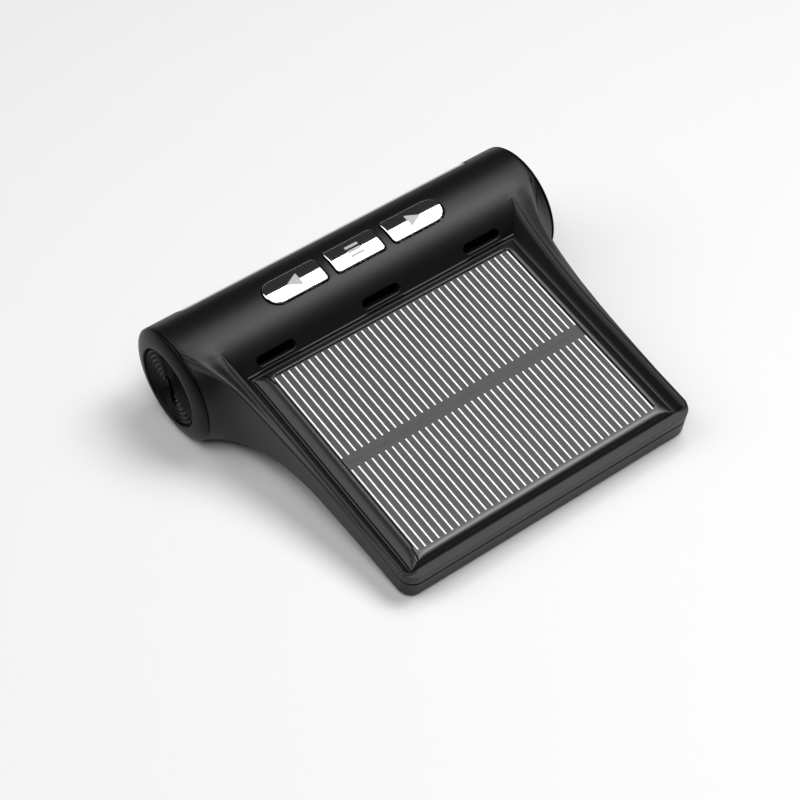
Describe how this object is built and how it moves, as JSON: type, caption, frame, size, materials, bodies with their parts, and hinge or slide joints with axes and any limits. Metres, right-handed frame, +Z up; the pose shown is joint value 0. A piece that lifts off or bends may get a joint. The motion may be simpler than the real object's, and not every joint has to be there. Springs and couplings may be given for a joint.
{
  "type": "tire pressure monitor",
  "caption": "Solar tyre pressure display for a dashboard: a round barrel with screen, chrome keys and end caps, and a thin sloping plate that carries a framed solar panel.",
  "frame": {"origin": "on the surface it rests on, below the centre of its bounding box", "axes": "+X along the barrel, with the charging socket at the -X end; -Y towards the solar plate's front edge; +Y towards the display window; +Z up"},
  "size_m": [0.0832, 0.0728, 0.0236],
  "materials": {
    "housing_black": "fine satin spark texture",
    "button_chrome": "bright plated plastic",
    "solar_cover": "satin face with a glossy bevelled border",
    "solar_cell": "satin dark grey with fine silver contact lines",
    "board_black": "solder mask",
    "board_green": "solder mask with copper tracks",
    "window_smoked": "smoked high gloss",
    "lcd_glass": "glossy grey green",
    "backlight_white": "milky diffuser",
    "switch_metal": "tinned sheet",
    "screw_steel": "black zinc",
    "copper": "bare copper wire",
    "ribbon_amber": "polyimide film",
    "cell_pouch": "wrinkled laminate pouch",
    "part_black": "moulded",
    "wire_red": "smooth insulation",
    "pad_foam": "fine foam"
  },
  "bodies": {
    "housing": {"top_shell": "housing_black", "bottom_shell": "housing_black", "left_end_cap": "housing_black", "right_end_cap": "housing_black", "rear_screw_left": "screw_steel", "rear_screw_right": "screw_steel", "front_screw_left": "screw_steel", "front_screw_right": "screw_steel", "adhesive_pad": "pad_foam", "solar_backing_board": "board_black", "solar_cells_front_row": "solar_cell", "solar_cells_rear_row": "solar_cell", "solar_cover": "solar_cover", "switch_body_previous": "switch_metal", "switch_body_menu": "switch_metal", "switch_body_next": "switch_metal", "button_board": "board_green", "button_board_screw_left": "screw_steel", "button_board_screw_right": "screw_steel", "main_board": "board_green", "main_board_screw_left": "screw_steel", "main_board_screw_right": "screw_steel", "usb_port": "switch_metal", "microcontroller": "part_black", "radio_shield_can": "switch_metal", "buzzer": "part_black", "vibration_sensor": "switch_metal", "antenna_coil": "copper", "display_window": "window_smoked", "lcd_panel": "lcd_glass", "lcd_backlight": "backlight_white", "lcd_frame": "part_black", "display_ribbon": "ribbon_amber", "battery_cell": "cell_pouch", "battery_connector": "backlight_white", "battery_wire_red": "wire_red", "battery_wire_black": "part_black", "solar_wire_red": "wire_red", "solar_wire_black": "part_black"},
    "previous_button": {"button_previous": "button_chrome", "switch_plunger_previous": "part_black"},
    "menu_button": {"button_menu": "button_chrome", "switch_plunger_menu": "part_black"},
    "next_button": {"button_next": "button_chrome", "switch_plunger_next": "part_black"}
  },
  "joints": [
    {"name": "previous_press", "type": "slide", "parent": "housing", "child": "previous_button", "axis": [0, 0.1835, -0.983], "range_m": [0, 0.0005], "stiffness_N_per_m": 1200, "springref_m": -0.0004},
    {"name": "menu_press", "type": "slide", "parent": "housing", "child": "menu_button", "axis": [0, 0.1835, -0.983], "range_m": [0, 0.0005], "stiffness_N_per_m": 1200, "springref_m": -0.0004},
    {"name": "next_press", "type": "slide", "parent": "housing", "child": "next_button", "axis": [0, 0.1835, -0.983], "range_m": [0, 0.0005], "stiffness_N_per_m": 1200, "springref_m": -0.0004}
  ]
}
